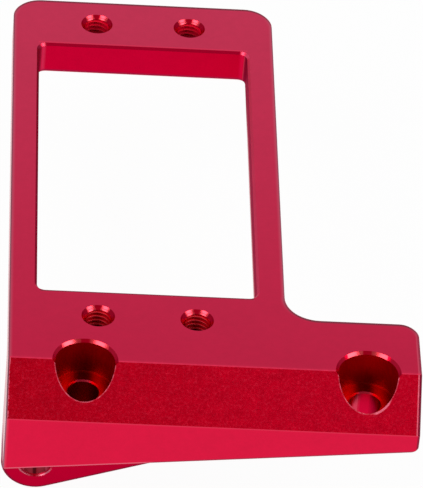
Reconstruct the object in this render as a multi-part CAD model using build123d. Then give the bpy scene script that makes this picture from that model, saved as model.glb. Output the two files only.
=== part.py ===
from build123d import *
from math import asin, atan2, cos, hypot, radians, sin, tan
import os

os.makedirs("parts", exist_ok=True)

# Servo bracket, machined from one block of aluminium and anodised, in millimetres
# Origin: centre of the servo screw pattern, on the front face of the servo plate
# +Z leaves the front face, +Y runs along the plate away from the foot, +X points to the foot's wide end

# Standard servo: its case passes through the window, its ears take four M3 screws
servo_case_width = 20.0
servo_case_length = 40.5
case_side_gap = 1.2
case_end_gap = 0.5
ear_hole_reach = 4.5
servo_pitch_across = 10.0
thread_radius = 1.5
thread_lead = 0.2
window_corner = 0.9
window_break = 0.25

# Servo plate
plate_thickness = 3.8
side_bar_width = 2.8
far_hole_to_end = 4.05
near_hole_to_front = 11.45
plate_corner = 3.0

# Foot screws: two M3 cap screws sunk into the bar, square to the plate
foot_screw_radius = 1.5
foot_screw_clearance = 0.1
screw_head_radius = 2.75
screw_head_clearance = 0.28
screw_head_depth = 4.05
pocket_lead = 0.28
seat_lead = 0.15
foot_screw_pitch = 28.4
foot_screw_to_narrow_end = 7.7
foot_screw_to_wide_end = 5.38
foot_screw_to_front = 4.45
foot_screw_to_web = 2.55

# Foot: a bar across the front end, bevelled above, with an underside that drops to the narrow end
foot_below_plate = 2.8
underside_tilt = 6.2
front_bevel = 4.33
underside_corner = 0.8
shoulder_overhang = 2.3
shoulder_corner = 2.0
shoulder_fillet = 3.5
inside_fillet = 1.0

# Rear web along the back of the foot, deepening to a rounded lug under the narrow end
web_thickness = 3.0
web_end_inset = 1.1
lug_screw_radius = 1.5
lug_screw_clearance = 0.25
lug_wall = 1.75
lug_hole_below_foot = 4.9
lug_lip = 0.2

# Small break on the outer edges
edge_break = 0.15

# Overrun of a cut past a face
clear = 1.0

# Sizes that follow from the servo and its screws
window_width = servo_case_width + 2 * case_side_gap
window_length = servo_case_length + 2 * case_end_gap
frame_width = window_width + 2 * side_bar_width
servo_pitch_along = servo_case_length + 2 * ear_hole_reach
plate_right_x = frame_width / 2
left_x = -plate_right_x
far_y = servo_pitch_along / 2 + far_hole_to_end
front_y = -servo_pitch_along / 2 - near_hole_to_front
bevel_y = front_y + front_bevel
plate_back_z = -plate_thickness

# Sizes that follow from the foot screws
screw_hole_radius = foot_screw_radius + foot_screw_clearance
pocket_radius = screw_head_radius + screw_head_clearance
screw_y = front_y + foot_screw_to_front
screw_left_x = left_x + foot_screw_to_narrow_end
screw_right_x = screw_left_x + foot_screw_pitch
right_x = screw_right_x + foot_screw_to_wide_end
web_front_y = screw_y + foot_screw_to_web
foot_back_y = web_front_y + web_thickness
shoulder_y = foot_back_y + shoulder_overhang

seat_z = -screw_head_depth
corner_radius = min(inside_fillet, shoulder_overhang / 2, foot_below_plate / 2)

# The underside starts below the plate's back at the wide end and drops to the narrow end
rise = tan(radians(underside_tilt))
underside_right_z = plate_back_z - foot_below_plate
underside_left_z = underside_right_z - rise * (right_x - left_x)
foot_depth = -underside_left_z

# The web's lower line starts near the wide end and touches the lug as a tangent
lug_hole_radius = lug_screw_radius + lug_screw_clearance
lug_radius = lug_hole_radius + lug_wall
lug_x = left_x + lug_radius
lug_z = underside_left_z - lug_hole_below_foot
meet_x = right_x - web_end_inset
meet_z = underside_right_z - rise * (right_x - meet_x)
web_reach = hypot(meet_x - lug_x, meet_z - lug_z)
web_angle = atan2(meet_z - lug_z, meet_x - lug_x) + asin(lug_radius / web_reach)
touch_x = lug_x + lug_radius * sin(web_angle)
touch_z = lug_z - lug_radius * cos(web_angle)


# Round cuts start at their own plane and run down from it or up from it
below = (Align.CENTER, Align.CENTER, Align.MAX)
above = (Align.CENTER, Align.CENTER, Align.MIN)


def across(y):
    # Section plane square to Y: local x is X and local y is Z
    return Plane(origin=(0, y, 0), x_dir=(1, 0, 0), z_dir=(0, -1, 0))


def near(value, target):
    return abs(value - target) < edge_break / 10


def in_plane(edge, axis, level):
    # True for an edge that lies wholly in the plane at this level of X, Y or Z
    box = edge.bounding_box()
    return near(getattr(box.min, axis), level) and near(getattr(box.max, axis), level)


with BuildPart() as bracket:
    # Plate, with the shoulder that covers the wide end of the foot
    with BuildSketch(Plane.XY):
        with BuildLine():
            Polyline(
                (left_x, front_y),
                (right_x, front_y),
                (right_x, shoulder_y),
                (plate_right_x, shoulder_y),
                (plate_right_x, far_y),
                (left_x, far_y),
                close=True,
            )
        make_face()
        fillet(vertices().filter_by(lambda v: near(v.Y, far_y)), plate_corner)
        fillet(vertices().sort_by_distance((right_x, shoulder_y))[0], shoulder_corner)
        fillet(vertices().sort_by_distance((plate_right_x, shoulder_y))[0], shoulder_fillet)
    extrude(amount=-plate_thickness)

    # Foot bar with the inclined underside
    with BuildSketch(across(foot_back_y)):
        with BuildLine():
            Polyline(
                (left_x, 0),
                (right_x, 0),
                (right_x, underside_right_z),
                (left_x, underside_left_z),
                close=True,
            )
        make_face()
        low_corner = (right_x, foot_back_y, underside_right_z)
        fillet(vertices().sort_by_distance(low_corner)[0], underside_corner)
    extrude(amount=foot_back_y - front_y)

    # Rear web and lug in one outline
    with BuildSketch(across(foot_back_y)):
        with BuildLine():
            Polyline(
                (left_x, plate_back_z),
                (left_x, lug_z),
                (lug_x, lug_z),
                (touch_x, touch_z),
                (meet_x, meet_z),
                (meet_x, plate_back_z),
                close=True,
            )
        make_face()
        with Locations((lug_x, lug_z)):
            Circle(lug_radius)
    extrude(amount=web_thickness)

    # Inside corner between the plate's back and the foot
    corner_line = edges().filter_by(
        lambda e: in_plane(e, "Y", foot_back_y) and in_plane(e, "Z", plate_back_z)
    )
    fillet(corner_line, corner_radius)

    # Long bevel over the front end
    with BuildSketch(Plane.YZ.offset(left_x - clear)):
        with BuildLine():
            Polyline(
                (front_y - clear, clear),
                (bevel_y + clear, clear),
                (front_y - clear, -front_bevel - clear),
                close=True,
            )
        make_face()
    extrude(amount=right_x - left_x + 2 * clear, mode=Mode.SUBTRACT)

    # Break on the outer edges, all but the bevel's two long edges and the inside corner
    def broken(e):
        box = e.bounding_box()
        return (
            (in_plane(e, "Z", 0) and not in_plane(e, "Y", bevel_y))
            or (in_plane(e, "Y", front_y) and not in_plane(e, "Z", -front_bevel))
            or (near(box.min.Z, -front_bevel) and near(box.max.Z, 0))
            or (in_plane(e, "Z", plate_back_z) and box.max.Y > foot_back_y + corner_radius + clear / 10)
            or (in_plane(e, "Y", foot_back_y) and not in_plane(e, "Z", plate_back_z - corner_radius))
            or (in_plane(e, "Y", web_front_y) and box.min.Z < underside_left_z - edge_break)
            or (in_plane(e, "X", left_x) and in_plane(e, "Z", underside_left_z))
        )

    chamfer(edges().filter_by(broken), edge_break)

    # Servo window, with its own break at both faces
    with BuildSketch(Plane.XY):
        RectangleRounded(window_width, window_length, window_corner)
    extrude(amount=-plate_thickness, mode=Mode.SUBTRACT)

    def window_rim(e):
        middle = e.center()
        inside = abs(middle.X) < window_width / 2 + clear / 10 and abs(middle.Y) < window_length / 2 + clear / 10
        return inside and (in_plane(e, "Z", 0) or in_plane(e, "Z", plate_back_z))

    chamfer(edges().filter_by(window_rim), window_break)

    # Tapped holes with a short lead at both mouths
    with BuildSketch(Plane.XY):
        with GridLocations(servo_pitch_across, servo_pitch_along, 2, 2):
            Circle(thread_radius)
    extrude(amount=-plate_thickness, mode=Mode.SUBTRACT)
    with GridLocations(servo_pitch_across, servo_pitch_along, 2, 2):
        Cone(thread_radius, thread_radius + thread_lead, thread_lead, align=below, mode=Mode.SUBTRACT)
    with Locations((0, 0, plate_back_z)):
        with GridLocations(servo_pitch_across, servo_pitch_along, 2, 2):
            Cone(thread_radius + thread_lead, thread_radius, thread_lead, align=above, mode=Mode.SUBTRACT)

    # Pockets for the foot screws: lead, head pocket, seat and clearance hole
    with Locations((screw_left_x, screw_y), (screw_right_x, screw_y)):
        Cone(pocket_radius, pocket_radius + pocket_lead, pocket_lead, align=below, mode=Mode.SUBTRACT)
        Cylinder(pocket_radius, screw_head_depth, align=below, mode=Mode.SUBTRACT)
        Cylinder(screw_hole_radius, foot_depth, align=below, mode=Mode.SUBTRACT)
    with Locations((screw_left_x, screw_y, seat_z), (screw_right_x, screw_y, seat_z)):
        Cone(screw_hole_radius, screw_hole_radius + seat_lead, seat_lead, align=below, mode=Mode.SUBTRACT)

    # Lug hole with a lip at both faces
    with BuildSketch(across(foot_back_y)):
        with Locations((lug_x, lug_z)):
            Circle(lug_hole_radius)
    extrude(amount=web_thickness, mode=Mode.SUBTRACT)
    lips = edges().filter_by(GeomType.CIRCLE).filter_by(
        lambda e: near(e.radius, lug_hole_radius) and e.center().Z < underside_left_z
    )
    chamfer(lips, lug_lip)

export_step(bracket.part, "parts/servo_bracket.step")
print(bracket.part.volume, bracket.part.bounding_box(), bracket.part.is_valid, len(bracket.solids()))
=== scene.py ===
from math import asin, atan2, ceil, cos, floor, hypot, pi, radians, sin, tan
from types import SimpleNamespace

import bpy
from mathutils import Matrix, Vector


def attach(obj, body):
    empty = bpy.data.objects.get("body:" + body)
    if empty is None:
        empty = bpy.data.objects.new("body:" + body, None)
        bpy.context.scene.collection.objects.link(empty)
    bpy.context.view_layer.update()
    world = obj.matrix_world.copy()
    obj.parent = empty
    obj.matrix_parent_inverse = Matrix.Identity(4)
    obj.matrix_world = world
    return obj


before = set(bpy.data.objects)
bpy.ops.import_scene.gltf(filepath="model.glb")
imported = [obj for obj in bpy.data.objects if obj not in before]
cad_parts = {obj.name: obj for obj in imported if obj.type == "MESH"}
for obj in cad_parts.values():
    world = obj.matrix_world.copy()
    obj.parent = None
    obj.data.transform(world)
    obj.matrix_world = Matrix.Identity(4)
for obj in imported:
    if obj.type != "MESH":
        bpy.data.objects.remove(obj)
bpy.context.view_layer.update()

# All lengths below are metres
MM = 0.001

# Sizes of the bracket that the finish and the thread follow, from the servo's screw pattern outwards
HOLE_X = 5.0 * MM
HOLE_Y = 24.75 * MM
WINDOW_HALF_WIDTH = 11.2 * MM
WINDOW_HALF_LENGTH = 20.75 * MM
PLATE_THICKNESS = 3.8 * MM
PLATE_HALF_WIDTH = WINDOW_HALF_WIDTH + 2.8 * MM
PLATE_CORNER = 3.0 * MM
FAR_Y = HOLE_Y + 4.05 * MM
FRONT_Y = -HOLE_Y - 11.45 * MM
BEVEL = 4.33 * MM
BEVEL_Y = FRONT_Y + BEVEL
EDGE_BREAK = 0.15 * MM

# Screws of the foot in their pockets, and the shoulder round the wide end
SCREW_PITCH = 28.4 * MM
SCREW_LEFT_X = -PLATE_HALF_WIDTH + 7.7 * MM
SCREW_X = (SCREW_LEFT_X, SCREW_LEFT_X + SCREW_PITCH)
SCREW_Y = FRONT_Y + 4.45 * MM
SCREW_HOLE_RADIUS = 1.6 * MM
POCKET_RADIUS = 3.03 * MM
SEAT_DEPTH = 4.05 * MM
WIDE_END_X = SCREW_X[1] + 5.38 * MM
SHOULDER_Y = SCREW_Y + 7.85 * MM
SHOULDER_CORNER = 2.0 * MM
SHOULDER_FILLET = 3.5 * MM

# Underside of the foot: it is higher at the wide end and drops to the narrow end
UNDERSIDE_RISE = tan(radians(6.2))
UNDERSIDE_DEPTH = 6.6 * MM + UNDERSIDE_RISE * WIDE_END_X

# Lug below the narrow end, and the web's lower line that leaves it as a tangent
LUG_RADIUS = 3.5 * MM
LUG_HOLE_RADIUS = 1.75 * MM
LUG_BELOW_FOOT = 4.9 * MM
LUG_X = -PLATE_HALF_WIDTH + LUG_RADIUS
LUG_Z = -UNDERSIDE_RISE * PLATE_HALF_WIDTH - UNDERSIDE_DEPTH - LUG_BELOW_FOOT
WEB_END_X = WIDE_END_X - 1.1 * MM
WEB_END_Z = UNDERSIDE_RISE * WEB_END_X - UNDERSIDE_DEPTH
WEB_REACH = hypot(WEB_END_X - LUG_X, WEB_END_Z - LUG_Z)
WEB_ANGLE = atan2(WEB_END_Z - LUG_Z, WEB_END_X - LUG_X) + asin(LUG_RADIUS / WEB_REACH)

# Thread M3 x 0.5, with a cone at each mouth and a short run-in
THREAD_MAJOR = 1.5 * MM
THREAD_MINOR = 1.24 * MM
THREAD_PITCH = 0.5 * MM
THREAD_START = 0.36 * MM
THREAD_RUN_IN = 0.15 * MM
MOUTH_RADIUS = 1.7 * MM
CONE_DEPTH = MOUTH_RADIUS - THREAD_MINOR

# Shape of one ridge: parts of half a pitch at which the crest and the root begin
FLAT_CREST = 0.25
FLAT_ROOT = 0.875

# Ring that carries the thread: its gap to the hole, its least wall and its set-back from the mouth
RING_GAP = 0.002 * MM
RING_WALL = 0.003 * MM
RING_INSET = 0.005 * MM
RING_OUTER = THREAD_MAJOR - RING_GAP
RING_SIDES = 80
RING_ROWS_A_TURN = 12

# Camera: solved from the straight edges and the holes of the bracket
CAMERA_RIGHT = Vector((0.997189, -0.019494, 0.072343))
CAMERA_DOWN = Vector((0.044236, -0.626109, -0.778480))
CAMERA_FORWARD = Vector((0.060470, 0.779492, -0.623487))
CAMERA_PLACE = Vector((-0.026381, -0.438661, 0.340968))
FOCAL_PIXELS = 5322.735
FRAME_PIXELS = 423
SENSOR_WIDTH = 36.0
CLIP_NEAR = 0.01
CLIP_FAR = 10.0

# Two soft boxes, left and right of the camera: name and direction
LAMP_DISTANCE = 0.75
LAMP_SIZE = 0.36
LAMP_RADIANCE = 4.0
LAMPS = (
    ("lamp_left", Vector((-0.568, -0.403, 0.716))),
    ("lamp_right", Vector((0.696, -0.319, 0.645))),
)

# Strength of the sky: in front, behind and low, behind and high, and overhead
SKY_FRONT = 0.28
SKY_REAR_LOW = 0.40
SKY_REAR_HIGH = 0.80
SKY_OVERHEAD = 0.40

# Parts of a direction over which the sky changes: from front to rear, up the rear and to overhead
FRONT_TO_REAR = (-0.5, 0.6)
UP_THE_REAR = (0.05, 0.45)
TO_OVERHEAD = (0.65, 1.0)

# Shares of plain white that the camera and mirrored rays see in the sky and on the floor
SKY_TO_CAMERA = 1.0
SKY_TO_MIRROR = 0.02
FLOOR_TO_CAMERA = 0.96
FLOOR_TO_MIRROR = 0.8

FLOOR_Z = -19.7 * MM
FLOOR_SIZE = 6.0
FLOOR_GREY = 0.9

# Number of grains in a metre, from the widest clouds to the finest specks
CLOUDS = 150.0
MOTTLES = 1100.0
PATCHES = 1600.0
GRITS = 3800.0
SPECKS = 9000.0

# Brightness at the darkest and the lightest grain: clouds, mottles, fine tooth, and the bevel's own grit
CLOUD_RANGE = (0.92, 1.04)
MOTTLE_RANGE = (-0.04, 0.08)
TOOTH_RANGE = (0.95, 1.05)
GRIT_RANGE = (0.90, 1.10)
BLAST_RANGE = (0.94, 1.06)

# Part of a normal along an axis: of a face at 45 degrees, a side, a face square to it and a wall along it
HALF = 0.7071
SIDEWAYS = (0.6, 0.9)
SQUARE = 0.97
SQUARE_SOFT = 0.04
LEVEL = 0.3
LEVEL_SOFT = 0.1

# Slack of a facing: for the bevel itself, for a broken edge and for any slanted face
BEVEL_SLACK = 0.02
EDGE_SLACK = 0.03
SLANT_SLACK = 0.05

# Painted highlight on a rim, by how far it looks sideways, and the painted shade on the flank beside it
GLOW_LEFT = 0.32
GLOW_RIGHT = 0.26
GLOW_HALF_WIDTH = 0.16
GLOW_SOFT = 0.05
FLANK_FROM = 0.56
FLANK_SOFT = 0.08

# Usual width over which a mask fades, and the depth of skin that still counts as a face
SOFT = 0.05 * MM
SKIN = 0.2 * MM
SKIN_SOFT = 0.1 * MM

# Spans over which the colour changes, along the bracket's length or width; most of these changes are painted
# light and shade
TO_WIDE_END = (7 * MM, 9 * MM)
TO_RIGHT = (0.0, 1 * MM)
TO_FAR = (-5 * MM, 5 * MM)
SATIN_SPAN = (-30 * MM, 28 * MM)
BLASTED_SPAN = (-PLATE_HALF_WIDTH, 12 * MM)
WALL_SPAN = (0.0, 10 * MM)

# Painted shade line inside the outline: its width at the far ends and at the sides, and the painted sheen
# halo beside it there
FAR_LINE_WIDTH = 0.44 * MM
SIDE_LINE_WIDTH = 0.12 * MM
LINE_BLUR = 0.06 * MM
HALO_WIDTH = 0.30 * MM
HALO_STRENGTH = 0.55
TURN_POWER = 0.6

# Painted shade along the lower edge of the web
WEB_LINE_WIDTH = 0.24 * MM
WEB_LINE_SOFT = 0.12 * MM

# Roughness of each kind of face
SATIN_ROUGH = 0.34
BLASTED_ROUGH = 0.55
MILLED_ROUGH = 0.30
SIDE_ROUGH = 0.14
WEB_ROUGH = 0.26
WALL_SIDE_ROUGH = 0.65
WALL_SIDE_LOW_ROUGH = 0.18
BORED_ROUGH = 0.58
THREAD_FAR_ROUGH = 0.75
BORE_DEEP_ROUGH = 0.60
BORE_OPEN_ROUGH = 0.30
SEAT_ROUGH = 0.22
EDGE_ROUGH = 0.34

# Weight of the clear seal on each kind of face, its roughness, and the depth of the grain
SATIN_SEAL = 0.30
MILLED_SEAL = 0.22
RIM_SEAL = 0.25
SIDE_SEAL = 0.10
FRONT_SIDE_SEAL = 0.45
SEAL_ROUGH = 0.25
RELIEF_STRENGTH = 0.6
RELIEF_DEPTH = 0.04 * MM


def colour(red, green, blue):
    return (red, green, blue, 1.0)


WHITE = colour(1, 1, 1)

# One dye, read a little differently on each kind of face, with painted light and shade on several of them
# SATIN_NEAR to SATIN_FAR: the plate grows paler towards its far end, a painted sheen
SATIN_NEAR = colour(0.650, 0.0058, 0.060)
SATIN_FAR = colour(0.680, 0.030, 0.100)
# BLASTED_LEFT to BLASTED_RIGHT: the bevel brightens towards the right, painted light
BLASTED_LEFT = colour(0.540, 0.0004, 0.012)
BLASTED_RIGHT = colour(0.640, 0.0006, 0.019)
SPECK_PINK = colour(0.60, 0.100, 0.210)
MILLED_RED = colour(0.74, 0.001, 0.046)
# WEB_RED: the web below the foot is darker than the milled front that faces the same way, painted shade
WEB_RED = colour(0.52, 0.0002, 0.028)
# WALL_LEFT_RED to WALL_RIGHT_RED: the window's far wall is lighter at its left, painted light
WALL_LEFT_RED = colour(0.62, 0.0002, 0.032)
WALL_RIGHT_RED = colour(0.58, 0.0002, 0.024)
# WALL_SIDE_RED: the window's side walls are darker, painted shade
WALL_SIDE_RED = colour(0.34, 0.012, 0.060)
# WALL_CORNER_RED and WALL_CORNER_PINK: painted highlight down the window's round corners
WALL_CORNER_RED = colour(0.68, 0.003, 0.045)
WALL_CORNER_PINK = colour(0.66, 0.022, 0.080)
# WALL_FOOT_RED: the foot of the window's far wall is darker, painted shade
WALL_FOOT_RED = colour(0.34, 0.010, 0.055)
GRAZING_TINT = colour(1.00, 0.40, 0.46)

# Pockets, tapped holes and the hole in the lug, with painted highlight and painted shade among these tones
BORED_RED = colour(0.60, 0.0004, 0.003)
# BORE_DEEP_RED is a darker copy of BORE_OPEN_RED for the left screw hole, painted shade
BORE_DEEP_RED = colour(0.32, 0.0004, 0.0006)
BORE_OPEN_RED = colour(0.66, 0.0025, 0.038)
# SEAT_RED: the seats are brighter than the pockets' walls of the same metal, painted highlight
SEAT_RED = colour(0.98, 0.0004, 0.003)
SEAT_LINE_RED = colour(0.50, 0.036, 0.026)
LIP_RED = colour(0.50, 0.022, 0.050)
THREAD_RED = colour(0.46, 0.0006, 0.006)
THREAD_FAR_RED = colour(0.44, 0.0006, 0.022)
# THREAD_CREST_RED: painted highlight along the thread's crests
THREAD_CREST_RED = colour(0.85, 0.065, 0.090)
RIM_RED = colour(0.80, 0.0020, 0.026)
# RIM_FLANK_RED and CONE_FLANK_RED are painted shade on the rims' flanks, RIM_PINK and CONE_PINK painted
# highlight where the rims mirror the lamps
RIM_FLANK_RED = colour(0.50, 0.008, 0.034)
RIM_PINK = colour(0.92, 0.053, 0.074)
CONE_FLANK_RED = colour(0.40, 0.003, 0.022)
CONE_PINK = colour(0.84, 0.040, 0.066)
# LUG_BORE_RED: the inside of the lug's hole is darker, painted shade
LUG_BORE_RED = colour(0.34, 0.030, 0.046)
LUG_LIP_RED = colour(0.55, 0.004, 0.034)

# Broken edges and the lines along them: pink where the coating is thin, painted shade where a face turns away
# from the light and painted highlight where one catches it
OUTER_EDGE_RED = colour(0.60, 0.070, 0.120)
BEVEL_END_RED = colour(0.58, 0.030, 0.065)
FRONT_LEFT_RED = colour(0.43, 0.045, 0.085)
WINDOW_EDGE_RED = colour(0.64, 0.002, 0.036)
# WINDOW_RIGHT_RED and CORNER_PINK are painted highlight on the window's edges, WINDOW_LEFT_RED painted shade
WINDOW_RIGHT_RED = colour(0.90, 0.080, 0.180)
WINDOW_LEFT_RED = colour(0.32, 0.016, 0.048)
CORNER_PINK = colour(0.80, 0.060, 0.110)
# FAR_LINE_RED and SIDE_LINE_RED: painted shade where the outline's edge turns away, SIDE_HALO_RED a painted
# sheen beside the side line
FAR_LINE_RED = colour(0.26, 0.032, 0.062)
SIDE_LINE_RED = colour(0.35, 0.13, 0.18)
SIDE_HALO_RED = colour(0.63, 0.13, 0.21)
# DEEP_EDGE_RED: painted shade along the web's lower edge and the wide end's side
DEEP_EDGE_RED = colour(0.26, 0.006, 0.034)
# FOOT_LINE_RED: painted shade along the lower edge of the front end face, right of its painted highlight
FOOT_LINE_RED = colour(0.38, 0.036, 0.080)
# CREST_RED: painted highlight along the bevel's crest and beyond the window's far end
CREST_RED = colour(0.97, 0.026, 0.100)
# The first pink is painted highlight, the second partly chipped coating and partly painted highlight
HIGHLIGHT_PINK = colour(0.95, 0.22, 0.32)
CHIP_AND_HIGHLIGHT_PINK = colour(1.0, 0.20, 0.30)


class Nodes:
    """Short calls to build a node tree. The last number of a product is the strength of its mask."""

    def __init__(self, tree):
        self.tree = tree
        self.tree.nodes.clear()

    def add(self, kind, **values):
        node = self.tree.nodes.new(kind)
        for name, value in values.items():
            setattr(node, name, value)
        return node

    def link(self, source, target):
        self.tree.links.new(source, target)

    def put(self, socket, value):
        if isinstance(value, bpy.types.NodeSocket):
            self.link(value, socket)
        else:
            socket.default_value = value

    def math(self, operation, a, b=0.0, c=0.0):
        node = self.add("ShaderNodeMath", operation=operation)
        for socket, value in zip(node.inputs, (a, b, c)):
            self.put(socket, value)
        return node.outputs[0]

    def step(self, value, low, high):
        """0 at low, 1 at high, straight between and clamped."""
        node = self.add("ShaderNodeMapRange", clamp=True)
        self.put(node.inputs["Value"], value)
        self.put(node.inputs["From Min"], low)
        self.put(node.inputs["From Max"], high)
        return node.outputs["Result"]

    def above(self, value, limit, soft):
        """1 from the limit up, fading to 0 over soft below it."""
        return self.step(value, limit - soft, limit)

    def below(self, value, limit, soft):
        """1 up to the limit, fading to 0 over soft above it."""
        return self.step(value, limit + soft, limit)

    def band(self, value, centre, half_width, soft):
        """1 within half_width of the centre, falling to 0 over soft."""
        off = self.math("ABSOLUTE", self.math("SUBTRACT", value, centre))
        outside = self.math("SUBTRACT", off, half_width)
        return self.step(outside, soft, 0.0)

    def facing(self, part, target, slack):
        """1 where a part of the normal is within slack of its target, fading to 0 over as much again."""
        return self.band(part, target, slack, slack)

    def mix(self, factor, a, b):
        """Colour a at 0 and b at 1."""
        node = self.add("ShaderNodeMix", data_type="RGBA")
        self.put(node.inputs[0], factor)
        self.put(node.inputs[6], a)
        self.put(node.inputs[7], b)
        return node.outputs[2]

    def blend(self, factor, a, b):
        """Number a at 0 and b at 1."""
        node = self.add("ShaderNodeMix", data_type="FLOAT")
        self.put(node.inputs[0], factor)
        self.put(node.inputs[2], a)
        self.put(node.inputs[3], b)
        return node.outputs[0]

    def noise(self, place, scale, detail, rough):
        node = self.add("ShaderNodeTexNoise", noise_dimensions="3D")
        self.put(node.inputs["Vector"], place)
        self.put(node.inputs["Scale"], scale)
        self.put(node.inputs["Detail"], detail)
        self.put(node.inputs["Roughness"], rough)
        return node.outputs["Fac"]

    def product(self, *factors):
        value = factors[0]
        for factor in factors[1:]:
            value = self.math("MULTIPLY", value, factor)
        return value

    def most(self, *values):
        value = values[0]
        for other in values[1:]:
            value = self.math("MAXIMUM", value, other)
        return value

    def rest(self, mask):
        return self.math("SUBTRACT", 1.0, mask)

    def reach(self, a, b, centre_a, centre_b):
        """Distance in one plane from a centre."""
        off_a = self.math("SUBTRACT", a, centre_a)
        off_b = self.math("SUBTRACT", b, centre_b)
        return self.math("SQRT", self.math("ADD", self.product(off_a, off_a), self.product(off_b, off_b)))

    def split(self, vector):
        node = self.add("ShaderNodeSeparateXYZ")
        self.link(vector, node.inputs[0])
        return tuple(node.outputs)

    def scaled(self, tone, level):
        node = self.add("ShaderNodeVectorMath", operation="SCALE")
        self.link(tone, node.inputs[0])
        self.link(level, node.inputs["Scale"])
        return node.outputs[0]


def find_cuts(n):
    """Masks of the bracket's cuts, read from the place and the facing of the surface."""
    at = SimpleNamespace()
    at.place = n.add("ShaderNodeTexCoord").outputs["Object"]
    at.x, at.y, at.z = n.split(at.place)
    at.nx, at.ny, at.nz = n.split(n.add("ShaderNodeNewGeometry").outputs["True Normal"])
    at.side_on = n.math("ABSOLUTE", at.nx)
    at.sideways = n.step(at.side_on, *SIDEWAYS)
    at.upright = n.band(at.nz, 0.0, LEVEL, LEVEL_SOFT)
    at.slanted = n.facing(at.nz, HALF, SLANT_SLACK)
    at.facing_up = n.above(at.nz, SQUARE, SQUARE_SOFT)
    at.facing_front = n.below(at.ny, -SQUARE, SQUARE_SOFT)

    # Parts of the bracket: its wide end, all right of its middle and its far half
    at.wide_end = n.step(at.x, *TO_WIDE_END)
    at.right = n.step(at.x, *TO_RIGHT)
    at.far = n.step(at.y, *TO_FAR)

    # Height over the underside of the foot, and distances to the axes of the holes
    at.over = n.math("ADD", at.z, n.math("MULTIPLY_ADD", at.x, -UNDERSIDE_RISE, UNDERSIDE_DEPTH))
    at.to_screw = n.math("MINIMUM", *[n.reach(at.x, at.y, screw_x, SCREW_Y) for screw_x in SCREW_X])
    at.to_tap = n.reach(n.math("ABSOLUTE", at.x), n.math("ABSOLUTE", at.y), HOLE_X, HOLE_Y)
    at.to_lug = n.reach(at.x, at.z, LUG_X, LUG_Z)

    # Grains, and patches in which the coating is worn, which also break up some painted highlight lines
    at.grit = n.noise(at.place, GRITS, 3.0, 0.75)
    at.mottle = n.noise(at.place, MOTTLES, 2.0, 0.6)
    at.patchy = n.step(n.noise(at.place, PATCHES, 4.0, 0.8), 0.40, 0.62)

    for find in (find_faces, find_pockets, find_taps, find_rims, find_lug, find_edges):
        find(n, at)
    return at


def around_window(n, at, margin):
    """Mask of the window with a margin all round it."""
    return n.product(n.band(at.x, 0.0, WINDOW_HALF_WIDTH + margin, SOFT),
                     n.band(at.y, 0.0, WINDOW_HALF_LENGTH + margin, SOFT))


def find_faces(n, at):
    """Plate, bevel, front end face, walls of the window and the web."""
    at.plate = n.product(at.facing_up, n.above(at.z, -SKIN, SKIN_SOFT))
    at.bevel = n.product(n.facing(at.ny, -HALF, BEVEL_SLACK), at.slanted, n.below(at.y, BEVEL_Y, SKIN))
    at.front = n.product(at.facing_front, n.below(at.y, FRONT_Y + SKIN_SOFT, SKIN_SOFT))
    at.wall = n.product(around_window(n, at, SOFT), at.upright)
    at.web = n.product(at.facing_front, n.below(at.over, SKIN_SOFT, SKIN))
    at.off_face = n.rest(n.most(at.plate, at.bevel))


def find_pockets(n, at):
    """Screw pockets: seat, lip of the clearance hole, the hole below and the pocket's wall."""
    past_lead = POCKET_RADIUS + 0.3 * MM
    past_bore = SCREW_HOLE_RADIUS + 0.06 * MM
    lip_top = -SEAT_DEPTH / 2
    at.pocket = n.product(n.below(at.to_screw, past_lead, SOFT), at.off_face, n.above(at.over, SOFT, SOFT))
    at.lip = n.product(at.pocket, at.slanted, n.below(at.z, lip_top, 1 * MM))
    at.seat = n.product(at.pocket, at.facing_up)
    at.screw_bore = n.product(n.below(at.to_screw, past_bore, 0.06 * MM), at.upright,
                              n.below(at.z, -SEAT_DEPTH, SKIN_SOFT))
    at.pocket_wall = n.product(at.pocket, at.upright, n.rest(at.screw_bore))


def find_taps(n, at):
    """Tapped holes: a smooth cone above the thread."""
    fade = 0.04 * MM
    at.taps = n.product(n.below(at.to_tap, MOUTH_RADIUS, SOFT), at.off_face,
                        n.above(at.z, -PLATE_THICKNESS, fade))
    at.tap_cone = n.product(at.taps, n.above(at.z, -CONE_DEPTH + fade / 2, fade))
    at.thread = n.product(at.taps, n.rest(at.tap_cone))
    at.bored = n.most(at.pocket, at.taps)


def find_rims(n, at):
    """Rims of the pockets and the tapped holes: masks for a painted highlight on the far part, where it would
    mirror both lamps, and for painted shade on the flanks.
    """
    pocket_rim = n.product(at.pocket, n.band(at.nz, HALF, 0.08, 0.05), n.rest(at.lip))
    at.rim = n.most(pocket_rim, at.tap_cone)
    glow_centre = n.blend(at.wide_end, GLOW_LEFT, GLOW_RIGHT)
    at.glow = n.product(at.rim, n.band(at.side_on, glow_centre, GLOW_HALF_WIDTH, GLOW_SOFT),
                        n.below(at.ny, -0.45, 0.15))
    at.flank = n.product(at.rim, n.above(at.side_on, FLANK_FROM, FLANK_SOFT))


def find_lug(n, at):
    """Hole in the lug, and the lip at its front."""
    past_lip = LUG_HOLE_RADIUS + 0.25 * MM
    under_foot = n.below(at.over, -SKIN_SOFT, SKIN_SOFT)
    at.lug_bore = n.product(n.below(at.to_lug, LUG_HOLE_RADIUS + SOFT, SOFT),
                            n.band(at.ny, 0.0, 0.2, 0.1), under_foot)
    at.lug_lip = n.product(n.below(at.to_lug, past_lip, SOFT),
                           n.facing(at.ny, -HALF, SLANT_SLACK), under_foot)


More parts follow.
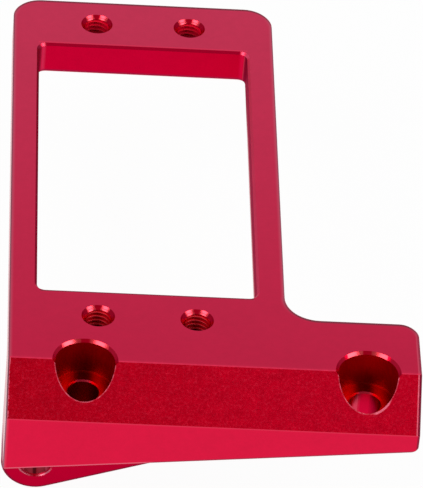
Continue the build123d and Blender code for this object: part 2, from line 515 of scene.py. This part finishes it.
def find_edges(n, at):
    """Broken edges, with those at the bevel's ends and round the window, and the line at the foot's edge."""
    edge_front = n.product(n.facing(at.ny, -HALF, EDGE_SLACK), n.step(at.nz, 0.3, 0.2))
    at.bevel_end = n.product(n.facing(at.nz, 0.5, EDGE_SLACK), n.facing(at.side_on, HALF, EDGE_SLACK))
    at.broken = n.product(n.most(at.slanted, edge_front, at.bevel_end),
                          n.rest(n.most(at.bevel, at.bored, at.lug_lip)))
    at.window_edge = n.product(at.broken, around_window(n, at, 0.5 * MM))
    at.foot_line = n.product(at.front, n.band(at.over, 0.18 * MM, 0.06 * MM, SOFT))
    at.foot_left = n.below(at.x, 0.2 * MM, 1 * MM)


def outline_line(n, gap, across, where):
    """Masks of the painted shade line inside the outline: its part across the plate, its part along it and a
    painted sheen halo there.
    """
    turn = n.math("POWER", across, TURN_POWER)
    past = n.math("SUBTRACT", gap, n.blend(turn, SIDE_LINE_WIDTH, FAR_LINE_WIDTH))
    sharp = n.product(n.step(past, LINE_BLUR, -LINE_BLUR), where)
    halo = n.product(n.below(past, 0.0, HALO_WIDTH), where)
    side = n.rest(turn)
    return n.product(sharp, turn), n.product(sharp, side), n.product(halo, side, HALO_STRENGTH)


def rounded_outline(n, at, half_x, far_y, radius, where):
    """The painted shade line inside a far end with two rounded corners."""
    off_x = n.math("MAXIMUM", n.math("SUBTRACT", n.math("ABSOLUTE", at.x), half_x - radius), 0.0)
    off_y = n.math("MAXIMUM", n.math("SUBTRACT", at.y, far_y - radius), 0.0)
    reach = n.reach(off_x, off_y, 0.0, 0.0)
    return outline_line(n, n.math("SUBTRACT", radius, reach), n.math("DIVIDE", off_y, reach), where)


def plate_outline(n, at):
    """Masks of the painted shade lines along the plate, its shoulder and the concave corner between them,
    with their painted sheen halo.
    """
    fillet_x = PLATE_HALF_WIDTH + SHOULDER_FILLET
    fillet_y = SHOULDER_Y + SHOULDER_FILLET
    past_fillet = n.step(at.y, fillet_y - SOFT, fillet_y + SOFT)
    by_shoulder = n.step(at.x, fillet_x - SOFT, fillet_x + SOFT)
    by_corner = n.step(at.x, fillet_x + SOFT, fillet_x - SOFT)
    by_plate = n.most(past_fillet, n.below(at.x, -1 * MM, 1 * MM))

    plate = rounded_outline(n, at, PLATE_HALF_WIDTH, FAR_Y, PLATE_CORNER, by_plate)
    shoulder = rounded_outline(n, at, WIDE_END_X, SHOULDER_Y, SHOULDER_CORNER,
                               n.product(by_shoulder, n.rest(past_fillet)))
    reach = n.reach(at.x, at.y, fillet_x, fillet_y)
    across = n.math("DIVIDE", n.math("SUBTRACT", fillet_y, at.y), reach)
    corner = outline_line(n, n.math("SUBTRACT", reach, SHOULDER_FILLET), across,
                          n.product(by_corner, n.rest(past_fillet),
                                    n.above(at.x, PLATE_HALF_WIDTH - 0.5 * MM, 0.5 * MM)))
    on_top = n.most(at.plate, at.broken)
    return [n.product(n.most(*masks), on_top) for masks in zip(plate, shoulder, corner)]


def web_outline(n, at):
    """Mask of the painted shade along the lower edge of the web: a straight line that touches the round of
    the lug.
    """
    off_x = n.math("SUBTRACT", at.x, LUG_X)
    off_z = n.math("SUBTRACT", at.z, LUG_Z)
    along_x = n.product(off_x, sin(WEB_ANGLE))
    along_z = n.product(off_z, cos(WEB_ANGLE))
    line_gap = n.math("SUBTRACT", LUG_RADIUS, n.math("SUBTRACT", along_x, along_z))
    line = n.below(line_gap, WEB_LINE_WIDTH, WEB_LINE_SOFT)
    arc = n.product(n.above(at.to_lug, LUG_RADIUS - WEB_LINE_WIDTH, WEB_LINE_SOFT),
                    n.below(off_x, 1 * MM, 0.3 * MM), n.below(off_z, -0.2 * MM, 0.4 * MM))
    return n.product(n.most(line, arc), n.most(at.web, at.broken), n.below(at.over, -0.1 * MM, 0.2 * MM))


def tones(n, at):
    """Colour of each cut, with painted highlight and painted shade on many of them. Each pair of mask and
    colour covers the ones before it.
    """
    # The plate's paler far end is a painted sheen
    satin = n.mix(n.step(at.y, *SATIN_SPAN), SATIN_NEAR, SATIN_FAR)
    # The bevel's brighter right end is painted light
    blasted = n.mix(n.step(at.x, *BLASTED_SPAN), BLASTED_LEFT, BLASTED_RIGHT)
    # The far wall's lighter left end is painted light
    wall = n.mix(n.step(at.x, *WALL_SPAN), WALL_LEFT_RED, WALL_RIGHT_RED)
    # Painted highlight down the window's round corners
    wall_round = n.product(at.wall, n.band(at.side_on, 0.45, 0.05, 0.3))
    wall_corner = n.mix(n.step(at.nx, -0.1, 0.1), WALL_CORNER_RED, WALL_CORNER_PINK)
    # The left screw hole is darker than the right: painted shade
    bore = n.mix(at.right, BORE_DEEP_RED, BORE_OPEN_RED)
    # Painted highlight on the left side of the right screw hole
    bore_gleam = n.product(at.screw_bore, at.right, n.band(at.nx, 0.54, 0.1, 0.18), 0.25)
    thread = n.mix(at.far, THREAD_RED, THREAD_FAR_RED)
    off_tap = n.math("ABSOLUTE", n.math("SUBTRACT", n.math("ABSOLUTE", at.x), HOLE_X))
    # Painted highlight on the thread's crests, fainter in the far holes and towards the sides
    crest_radius = THREAD_MINOR + 0.02 * MM
    crests = n.product(at.thread, n.below(at.to_tap, crest_radius, 0.03 * MM),
                       n.below(off_tap, 0.8 * MM, 0.45 * MM), n.blend(at.far, 0.8, 0.2))
    # Painted highlight where a rim mirrors the lamps, dimmer on its right side
    rim_glow = n.product(at.glow, n.blend(n.step(at.nx, 0.1, -0.1), 1.0, 0.8))
    # The lip's sides take the seats' bright tone, painted highlight
    lip_sides = n.product(at.lip, n.above(at.side_on, 0.40, 0.20))
    # Painted highlight on the lug's lip, on both sides of its hole
    lug_gleam = n.product(at.lug_lip, n.band(at.side_on, 0.36, 0.22, 0.05),
                          n.above(at.to_lug, LUG_HOLE_RADIUS + 0.11 * MM, SOFT))
    facing_near = n.below(at.ny, -0.6, 0.1)
    front_left = n.product(at.broken, n.below(at.nx, -0.6, 0.1), facing_near)
    window_corner = n.product(at.window_edge, n.band(at.side_on, 0.30, 0.12, 0.06), facing_near)
    tone = satin
    for mask, paint in (
        (at.bevel, blasted),
        (at.front, MILLED_RED),
        (at.wall, wall),
        # Painted shade on the web below the foot
        (at.web, WEB_RED),
        # Painted shade on the window's side walls
        (n.product(at.wall, at.sideways), WALL_SIDE_RED),
        (at.pocket, BORED_RED),
        (at.screw_bore, bore),
        (bore_gleam, HIGHLIGHT_PINK),
        (at.thread, thread),
        (crests, THREAD_CREST_RED),
        (at.seat, SEAT_RED),
        (at.rim, RIM_RED),
        (at.flank, RIM_FLANK_RED),
        (n.product(at.flank, at.taps), CONE_FLANK_RED),
        (rim_glow, RIM_PINK),
        (n.product(at.glow, at.taps), CONE_PINK),
        (at.lip, LIP_RED),
        (lip_sides, SEAT_RED),
        (at.lug_bore, LUG_BORE_RED),
        (at.lug_lip, LUG_LIP_RED),
        (lug_gleam, HIGHLIGHT_PINK),
        (at.broken, OUTER_EDGE_RED),
        (at.bevel_end, BEVEL_END_RED),
        (at.window_edge, WINDOW_EDGE_RED),
        # Painted highlight on the window's right edge and corners, painted shade on its left edge and on its
        # near edge, which faces away
        (n.product(at.window_edge, n.below(at.nx, -0.6, 0.2)), WINDOW_RIGHT_RED),
        (n.product(at.window_edge, n.above(at.nx, 0.6, 0.2)), WINDOW_LEFT_RED),
        (n.product(at.window_edge, n.above(at.ny, 0.35, 0.2)), SIDE_LINE_RED),
        (front_left, FRONT_LEFT_RED),
        (window_corner, CORNER_PINK),
        (wall_round, wall_corner),
        (n.product(at.bevel, n.step(at.grit, 0.48, 0.70), 0.10), SPECK_PINK),
    ):
        tone = n.mix(mask, tone, paint)
    return tone


def grains(n, at):
    """Faint clouds on all faces, a fine tooth on most and grit on the bevel."""
    cloud = n.noise(at.place, CLOUDS, 3.0, 0.6)
    cloudy = n.math("ADD", n.blend(cloud, *CLOUD_RANGE), n.blend(at.mottle, *MOTTLE_RANGE))
    gritty = n.product(n.blend(n.step(at.grit, 0.32, 0.68), *GRIT_RANGE),
                       n.blend(n.step(at.mottle, 0.3, 0.7), *BLAST_RANGE))
    return n.product(cloudy, n.blend(at.bevel, n.blend(at.grit, *TOOTH_RANGE), gritty))


def shade_levels(n, at):
    """Brightness over the dye: the grains, and the share that each mask of the pockets and holes leaves,
    which is painted shade, with painted highlight at the top of the threads.
    """
    facing_left = n.step(at.nx, -0.3, -0.7)
    low_wall = n.product(at.pocket_wall, n.step(at.z, -1.6 * MM, -3.2 * MM))
    back_wall = n.product(at.pocket_wall, n.step(at.side_on, 0.45, 0.10), n.step(at.ny, 0.0, -0.3))
    right_of_screw = n.math("SUBTRACT", at.x, n.blend(at.wide_end, *SCREW_X))
    off_screw = n.math("ABSOLUTE", right_of_screw)
    left_of_screw = n.step(right_of_screw, 0.1 * MM, -0.1 * MM)
    seat_middle = n.product(at.seat, n.step(off_screw, 1.1 * MM, 0.5 * MM),
                            n.step(at.y, SCREW_Y, SCREW_Y + 0.5 * MM))
    seat_end = n.product(at.seat, n.step(off_screw, 1.6 * MM, 2.7 * MM), n.blend(left_of_screw, 1.0, 0.1))
    bore_side = n.product(at.screw_bore, n.step(at.nx, -0.3, -0.8))
    bore_ring = n.product(at.screw_bore, at.wide_end,
                          n.most(n.step(at.nx, 0.72, 0.82), n.step(at.nx, -0.82, -0.92)))
    bore_line = n.product(at.lug_bore, n.band(at.x, LUG_X, 0.12 * MM, 0.12 * MM))
    down_thread = n.step(at.z, -CONE_DEPTH, -2.6 * MM)
    level = grains(n, at)
    # Painted shade on the pockets' walls (most on the low and back walls), the middle and ends of the seats,
    # the right side of the screw holes, a ring in the right one and a line in the lug's hole; along the
    # thread, painted highlight near the mouth and painted shade deeper down
    for mask, share in (
        (low_wall, n.blend(n.step(at.nx, 0.1, -0.1), 0.75, 0.55)),
        (back_wall, n.blend(at.wide_end, 0.78, 0.92)),
        (at.pocket_wall, n.blend(at.wide_end, 0.88, n.blend(facing_left, 1.0, 0.85))),
        (seat_middle, 0.4),
        (seat_end, 0.45),
        (bore_side, 0.4),
        (bore_ring, 0.3),
        (bore_line, 0.3),
        (at.thread, n.blend(down_thread, n.blend(at.far, 1.25, 2.0), 0.6)),
    ):
        level = n.product(level, n.blend(mask, 1.0, share))
    return level


def draw_lines(n, at, base):
    """Fine lines: painted shade round the outline, along the web's edge and at the foot of the window's far
    wall, a line where each pocket's wall meets its seat, painted highlight along the crest of the bevel and
    beside the window's far edge, and a painted sheen beside the side lines.
    """
    near_rim_y = -WINDOW_HALF_LENGTH - 0.29 * MM
    far_rim_y = WINDOW_HALF_LENGTH + 0.36 * MM
    seat_line_z = -SEAT_DEPTH + 0.07 * MM
    crest_y = BEVEL_Y + 0.14 * MM
    by_window = n.band(at.x, 0.0, WINDOW_HALF_WIDTH, 0.1 * MM)
    inside_window = n.band(at.x, 0.0, WINDOW_HALF_WIDTH - 0.4 * MM, 0.1 * MM)
    far_line, side_line, side_halo = plate_outline(n, at)
    # Painted shade at the foot of the window's far wall
    wall_foot = n.product(at.wall, n.rest(at.sideways), n.above(at.y, 20 * MM, 1 * MM),
                          n.below(at.z, -3.5 * MM, 0.22 * MM))
    # Painted shade on the plate beside the window's near edge, painted highlight beside its far edge
    near_rim = n.product(n.most(at.plate, at.broken), inside_window,
                         n.band(at.y, near_rim_y, 0.09 * MM, SOFT), 0.9)
    far_rim = n.product(at.plate, by_window, n.band(at.y, far_rim_y, 0.08 * MM, SOFT), 0.5)
    seat_line = n.product(at.pocket_wall, n.band(at.z, seat_line_z, 0.03 * MM, 0.04 * MM), 0.9)
    wide_side = n.product(n.above(at.x, WIDE_END_X - 0.22 * MM, 0.03 * MM), n.below(at.nx, 0.9, 0.05),
                          n.blend(n.below(at.y, BEVEL_Y, SKIN), 0.5, 0.9))
    # Painted highlight along the bevel's crest, broken up in patches
    crest_line = n.product(n.below(at.y, crest_y, 0.12 * MM), n.blend(at.patchy, 0.55, 1.0))
    crest_halo = n.product(n.below(at.y, BEVEL_Y + SKIN, 0.3 * MM), 0.15)
    for mask, paint in (
        (wall_foot, WALL_FOOT_RED),
        (near_rim, FAR_LINE_RED),
        (far_rim, CREST_RED),
        (seat_line, SEAT_LINE_RED),
        (side_halo, SIDE_HALO_RED),
        (side_line, SIDE_LINE_RED),
        (far_line, FAR_LINE_RED),
        (web_outline(n, at), DEEP_EDGE_RED),
        (wide_side, DEEP_EDGE_RED),
        (n.product(at.foot_line, n.rest(at.foot_left), 0.9), FOOT_LINE_RED),
        (n.product(at.plate, n.most(crest_line, crest_halo)), CREST_RED),
    ):
        base = n.mix(mask, base, paint)
    return base


def wear_and_highlights(n, at, base):
    """Pink at the pockets' cuts and the bevel's ends, partly where the coating is thin and partly painted
    highlight, and painted highlight round the front end face and on the pockets' walls just below the bevel.
    """
    streak_x = SCREW_X[1] + 1.5 * MM
    cut_radius = POCKET_RADIUS + 0.03 * MM
    wide_line_x = WIDE_END_X - 0.32 * MM
    narrow_line_x = -PLATE_HALF_WIDTH + 0.12 * MM
    ridge_z = -BEVEL - 0.06 * MM
    streak = n.product(n.band(at.x, streak_x, 0.6 * MM, 0.4 * MM), n.below(at.y, SCREW_Y - 1 * MM, 1 * MM))
    cut_width = n.blend(streak, 0.03 * MM, 0.12 * MM)
    cut = n.product(at.bevel, n.band(at.to_screw, cut_radius, cut_width, 0.03 * MM),
                    n.most(n.blend(at.patchy, 0.06, 0.85), n.product(streak, 0.95)))
    chipped = n.product(at.bevel, n.below(at.ny, -0.68, 0.08), n.blend(at.patchy, 0.7, 1.0))
    wide_line = n.product(n.band(at.x, wide_line_x, 0.055 * MM, 0.02 * MM),
                          n.most(chipped, n.product(at.plate, 0.2)), n.below(at.y, -28 * MM, 3 * MM))
    ragged_x = n.math("SUBTRACT", at.x, n.product(at.patchy, 0.12 * MM))
    narrow_line = n.product(at.bevel, n.below(ragged_x, narrow_line_x, 0.04 * MM), 0.7)
    # Chipped coating and painted highlight along the pockets' cuts and the bevel's ends; the streak by the
    # right pocket is painted highlight
    base = n.mix(n.most(wide_line, cut, narrow_line), base, CHIP_AND_HIGHLIGHT_PINK)

    # Painted highlight along the top, the left end and the lower left edge of the front end face, and on the
    # pockets' walls just below the bevel
    ridge = n.product(at.front, n.above(at.z, ridge_z, 0.14 * MM), 0.10)
    under_bevel = n.math("SUBTRACT", n.math("SUBTRACT", at.y, BEVEL_Y), at.z)
    under_cut = n.product(at.pocket_wall, n.below(under_bevel, 0.03 * MM, 0.03 * MM), 0.25)
    front_left = n.product(at.front, n.below(at.x, -PLATE_HALF_WIDTH + EDGE_BREAK, 0.25 * MM), 0.20)
    foot_left = n.product(at.foot_line, at.foot_left, 0.55)
    return n.mix(n.most(ridge, under_cut, front_left, foot_left), base, HIGHLIGHT_PINK)


def roughness(n, at):
    """Roughness of each cut. Each pair of mask and value covers the ones before it."""
    high_or_far = n.most(n.step(at.y, 10 * MM, 16 * MM), n.step(at.z, -3.0 * MM, -2.2 * MM))
    wall_side = n.blend(high_or_far, WALL_SIDE_LOW_ROUGH, WALL_SIDE_ROUGH)
    rough = n.blend(at.bevel, SATIN_ROUGH, BLASTED_ROUGH)
    for mask, value in (
        (at.front, MILLED_ROUGH),
        (at.sideways, SIDE_ROUGH),
        (n.most(at.wall, at.web), n.blend(at.sideways, WEB_ROUGH, wall_side)),
        (at.bored, n.blend(n.product(at.thread, at.far), BORED_ROUGH, THREAD_FAR_ROUGH)),
        (at.screw_bore, n.blend(at.right, BORE_DEEP_ROUGH, BORE_OPEN_ROUGH)),
        (n.most(at.seat, at.rim), SEAT_ROUGH),
        (n.most(at.broken, at.lug_bore, at.lug_lip), EDGE_ROUGH),
    ):
        rough = n.blend(mask, rough, value)
    return rough


def seal(n, at):
    """Clear seal over the dye: on the flat outer faces, the outer sides and the bright part of the rims."""
    unsealed = n.most(at.bevel, at.bored, at.wall, at.web, at.broken, at.lug_bore, at.lug_lip, at.sideways)
    flat = n.blend(unsealed, n.blend(at.front, SATIN_SEAL, MILLED_SEAL), 0.0)
    outer_side = n.product(at.sideways, n.rest(n.most(at.bored, at.wall, at.lug_bore)))
    front_side = n.step(at.y, -33.0 * MM, -33.8 * MM)
    side = n.product(outer_side, n.blend(front_side, SIDE_SEAL, FRONT_SIDE_SEAL))
    return n.most(flat, n.product(at.glow, RIM_SEAL), side)


def relief(n, at):
    """Blasted grains on the bevel and a fine satin tooth elsewhere."""
    speck = n.noise(at.place, SPECKS, 1.0, 0.5)
    grain = n.math("ADD", n.product(at.grit, n.blend(at.bevel, 0.05, 1.0)),
                   n.product(speck, n.blend(at.bevel, 0.04, 0.6)))
    bump = n.add("ShaderNodeBump")
    bump.inputs["Strength"].default_value = RELIEF_STRENGTH
    bump.inputs["Distance"].default_value = RELIEF_DEPTH
    n.link(grain, bump.inputs["Height"])
    return bump.outputs[0]


def anodised():
    """Red anodised aluminium, with the tone and the grain that each cut has, and painted light and shade over
    many cuts.
    """
    material = bpy.data.materials.new("anodised_red")
    material.use_nodes = True
    n = Nodes(material.node_tree)
    out = n.add("ShaderNodeOutputMaterial")
    shader = n.add("ShaderNodeBsdfPrincipled")
    n.link(shader.outputs[0], out.inputs[0])
    at = find_cuts(n)
    # The dye is scaled by the grains and by painted shade and highlight in the pockets, holes and threads
    dyed_and_shaded = n.scaled(tones(n, at), shade_levels(n, at))
    n.link(wear_and_highlights(n, at, draw_lines(n, at, dyed_and_shaded)), shader.inputs["Base Color"])
    shader.inputs["Metallic"].default_value = 1.0
    shader.inputs["Specular Tint"].default_value = GRAZING_TINT
    n.link(roughness(n, at), shader.inputs["Roughness"])
    shader.inputs["Coat Roughness"].default_value = SEAL_ROUGH
    n.link(seal(n, at), shader.inputs["Coat Weight"])
    n.link(relief(n, at), shader.inputs["Normal"])
    return material


def thread_reach(turn):
    """Share of the way from the thread's root to its crest, over one turn of pitch."""
    off = abs(turn - floor(turn) - 0.5) * 2
    return min(1.0, max(0.0, (FLAT_ROOT - off) / (FLAT_ROOT - FLAT_CREST)))


def thread_radius(depth, side):
    """Radius of the ring's inner side: the cone at a mouth, and the thread's ridges past the run-in."""
    to_mouth = min(depth, PLATE_THICKNESS - depth)
    started = min(1.0, max(0.0, (to_mouth - THREAD_START) / THREAD_RUN_IN))
    groove = (1.0 - thread_reach(depth / THREAD_PITCH + side / RING_SIDES)) * started
    radius = max(MOUTH_RADIUS - to_mouth, THREAD_MINOR + (RING_OUTER - THREAD_MINOR) * groove)
    return min(radius, RING_OUTER - RING_WALL)


def ring_corner(centre_x, centre_y, radius, side, depth):
    angle = 2 * pi * side / RING_SIDES
    return (centre_x + radius * cos(angle), centre_y + radius * sin(angle), -depth)


def add_thread(name, centre_x, centre_y, finish):
    """Closed ring in a tapped hole, with the thread on its inner side."""
    first = MOUTH_RADIUS - THREAD_MAJOR + RING_INSET
    last = PLATE_THICKNESS - first
    rows = ceil((last - first) / THREAD_PITCH * RING_ROWS_A_TURN)
    corners = []
    for row in range(rows + 1):
        depth = first + (last - first) * row / rows
        for side in range(RING_SIDES):
            corners.append(ring_corner(centre_x, centre_y, thread_radius(depth, side), side, depth))
    for depth in (last, first):
        for side in range(RING_SIDES):
            corners.append(ring_corner(centre_x, centre_y, RING_OUTER, side, depth))

    faces = []
    rings = len(corners) // RING_SIDES
    for row in range(rings):
        here = row * RING_SIDES
        below = (row + 1) % rings * RING_SIDES
        for side in range(RING_SIDES):
            after = (side + 1) % RING_SIDES
            faces.append((here + side, below + side, below + after, here + after))

    mesh = bpy.data.meshes.new(name)
    mesh.from_pydata(corners, [], faces)
    mesh.update()
    mesh.materials.append(finish)
    for polygon in mesh.polygons:
        polygon.use_smooth = True
    piece = bpy.data.objects.new(name, mesh)
    bpy.context.scene.collection.objects.link(piece)
    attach(piece, "root")


def add_camera():
    data = bpy.data.cameras.new("camera")
    data.sensor_fit = "HORIZONTAL"
    data.sensor_width = SENSOR_WIDTH
    data.lens = FOCAL_PIXELS / FRAME_PIXELS * SENSOR_WIDTH
    data.clip_start = CLIP_NEAR
    data.clip_end = CLIP_FAR
    data.dof.use_dof = False
    camera = bpy.data.objects.new("camera", data)
    turn = Matrix((CAMERA_RIGHT, -CAMERA_DOWN, -CAMERA_FORWARD)).transposed()
    camera.matrix_world = Matrix.Translation(CAMERA_PLACE) @ turn.to_4x4()
    bpy.context.scene.collection.objects.link(camera)
    bpy.context.scene.camera = camera


def with_white(n, plain, white, to_camera, to_mirror):
    """The plain shader, with a share of the white one where the camera or a mirrored ray sees it."""
    path = n.add("ShaderNodeLightPath")
    mirrored = n.most(path.outputs["Is Glossy Ray"], path.outputs["Is Transmission Ray"])
    share = n.most(n.product(path.outputs["Is Camera Ray"], to_camera), n.product(mirrored, to_mirror))
    mix = n.add("ShaderNodeMixShader")
    n.link(share, mix.inputs[0])
    n.link(plain.outputs[0], mix.inputs[1])
    n.link(white.outputs[0], mix.inputs[2])
    return mix.outputs[0]


def add_world():
    """A white sky for the camera, and a soft one that lights the bracket, brighter behind it."""
    world = bpy.data.worlds.new("studio")
    world.use_nodes = True
    n = Nodes(world.node_tree)
    out = n.add("ShaderNodeOutputWorld")
    along, up = n.split(n.add("ShaderNodeTexCoord").outputs["Generated"])[1:]
    rear = n.blend(n.step(up, *UP_THE_REAR), SKY_REAR_LOW, SKY_REAR_HIGH)
    around = n.blend(n.step(along, *FRONT_TO_REAR), SKY_FRONT, rear)
    light = n.add("ShaderNodeBackground")
    light.inputs["Color"].default_value = WHITE
    n.link(n.blend(n.step(up, *TO_OVERHEAD), around, SKY_OVERHEAD), light.inputs["Strength"])
    white = n.add("ShaderNodeBackground")
    white.inputs["Color"].default_value = WHITE
    white.inputs["Strength"].default_value = 1.0
    n.link(with_white(n, light, white, SKY_TO_CAMERA, SKY_TO_MIRROR), out.inputs[0])
    bpy.context.scene.world = world


def add_lamps():
    for name, way in LAMPS:
        data = bpy.data.lights.new(name, "AREA")
        data.shape = "SQUARE"
        data.size = LAMP_SIZE
        data.energy = LAMP_RADIANCE * pi * LAMP_SIZE * LAMP_SIZE
        lamp = bpy.data.objects.new(name, data)
        lamp.location = way * LAMP_DISTANCE
        lamp.visible_camera = False
        lamp.rotation_euler = (-way).to_track_quat("-Z", "Y").to_euler()
        bpy.context.scene.collection.objects.link(lamp)


def add_floor():
    """A pale floor just below the lug, which keeps the bracket's shadow."""
    half = FLOOR_SIZE / 2
    corners = [(-half, -half, 0), (half, -half, 0), (half, half, 0), (-half, half, 0)]
    mesh = bpy.data.meshes.new("floor")
    mesh.from_pydata(corners, [], [(0, 1, 2, 3)])
    piece = bpy.data.objects.new("floor", mesh)
    piece.location.z = FLOOR_Z
    bpy.context.scene.collection.objects.link(piece)
    material = bpy.data.materials.new("floor")
    material.use_nodes = True
    n = Nodes(material.node_tree)
    out = n.add("ShaderNodeOutputMaterial")
    matt = n.add("ShaderNodeBsdfDiffuse")
    matt.inputs["Color"].default_value = colour(FLOOR_GREY, FLOOR_GREY, FLOOR_GREY)
    white = n.add("ShaderNodeEmission")
    white.inputs["Strength"].default_value = 1.0
    n.link(with_white(n, matt, white, FLOOR_TO_CAMERA, FLOOR_TO_MIRROR), out.inputs[0])
    mesh.materials.append(material)


add_camera()
add_world()
add_lamps()
add_floor()

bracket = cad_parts["servo_bracket"]
finish = anodised()
for slot in bracket.material_slots:
    slot.material = finish
for row, side_y in (("far", 1), ("near", -1)):
    for column, side_x in (("left", -1), ("right", 1)):
        add_thread(f"thread_{row}_{column}", side_x * HOLE_X, side_y * HOLE_Y, finish)

bpy.context.scene.view_settings.view_transform = "Standard"
